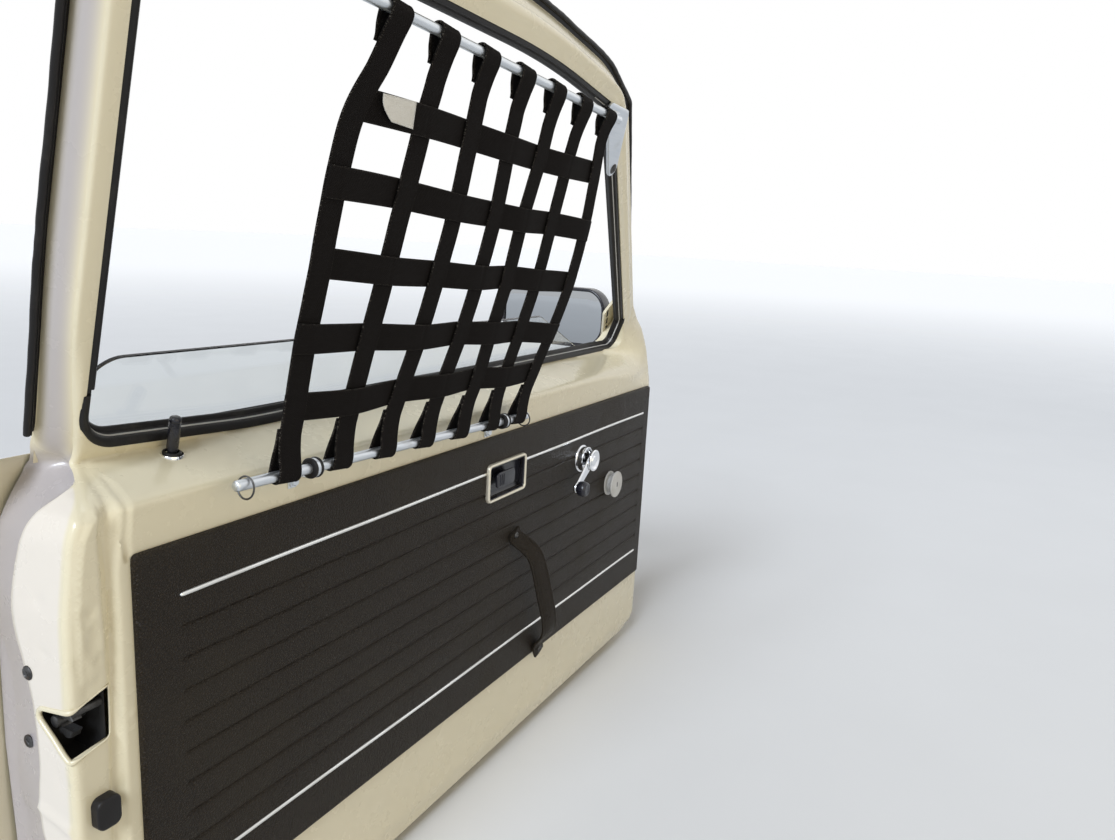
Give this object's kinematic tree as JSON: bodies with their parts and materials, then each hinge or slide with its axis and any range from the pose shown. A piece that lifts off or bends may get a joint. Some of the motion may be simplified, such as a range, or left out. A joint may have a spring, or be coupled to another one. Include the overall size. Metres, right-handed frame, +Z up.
{
  "type": "car door",
  "caption": "Left front door of a classic two-door coupe, with pleated trim card, lowered glass, mirror and a webbing window net on steel rods.",
  "frame": {"origin": "centre of the upper hinge's pillar pad, on the face that bolts to the body pillar", "axes": "+X forward along the door to its hinge edge, +Y outward through the door, +Z up; the door stands open, so the body's own forward direction is 48 degrees from +X towards +Y"},
  "size_m": [1.1967, 0.4153, 0.9709],
  "materials": {
    "ivory_paint": "glossy ivory enamel with dust and small dents",
    "black_rubber": "satin black rubber",
    "black_vinyl": "grained black vinyl with welded pleats",
    "bright_trim": "bright moulding",
    "zinc_steel": "bright zinc plate",
    "black_webbing": "woven black polyester webbing",
    "clear_glass": "clear drop glass",
    "cream_plastic": "champagne coloured rim",
    "dark_plastic": "dark satin plastic",
    "pale_plastic": "pale grey knob",
    "black_steel": "black latch steel with grease",
    "chrome": "polished chrome",
    "mirror_face": "silvered glass"
  },
  "bodies": {
    "pillar_leaves": {"hinge_pillar_leaves": "ivory_paint"},
    "door": {"inner_panel": "ivory_paint", "outer_skin": "ivory_paint", "window_frame": "ivory_paint", "hinge_door_leaves": "ivory_paint", "rod_bracket_front": "ivory_paint", "rod_bracket_rear": "ivory_paint", "frame_seal": "black_rubber", "window_channel": "black_rubber", "waist_seal_inner": "black_rubber", "waist_seal_outer": "black_rubber", "lock_grommet": "black_rubber", "bump_stop": "black_rubber", "pull_strap": "black_rubber", "trim_card": "black_vinyl", "card_strips": "bright_trim", "winder_handle": "bright_trim", "winder_escutcheon": "bright_trim", "net_rod_lower": "zinc_steel", "net_rod_upper": "zinc_steel", "hinge_pins": "zinc_steel", "rod_clamps": "zinc_steel", "net_uprights": "black_webbing", "net_crosses": "black_webbing", "window_glass": "clear_glass", "release_bezel": "cream_plastic", "release_cup": "dark_plastic", "release_lever": "dark_plastic", "winder_knob": "dark_plastic", "lock_plunger": "dark_plastic", "mirror_housing": "dark_plastic", "disc_knob": "pale_plastic", "latch_case": "black_steel", "latch_claw": "black_steel", "outer_handle": "chrome", "lock_button": "chrome", "mirror_foot": "chrome", "mirror_glass": "mirror_face"}
  },
  "joints": [
    {"name": "door_swing", "type": "hinge", "parent": "pillar_leaves", "child": "door", "pos_m": [-0.04088, 0.00989, 0], "axis": [0, 0, -1], "range_deg": [-48, 18]}
  ]
}
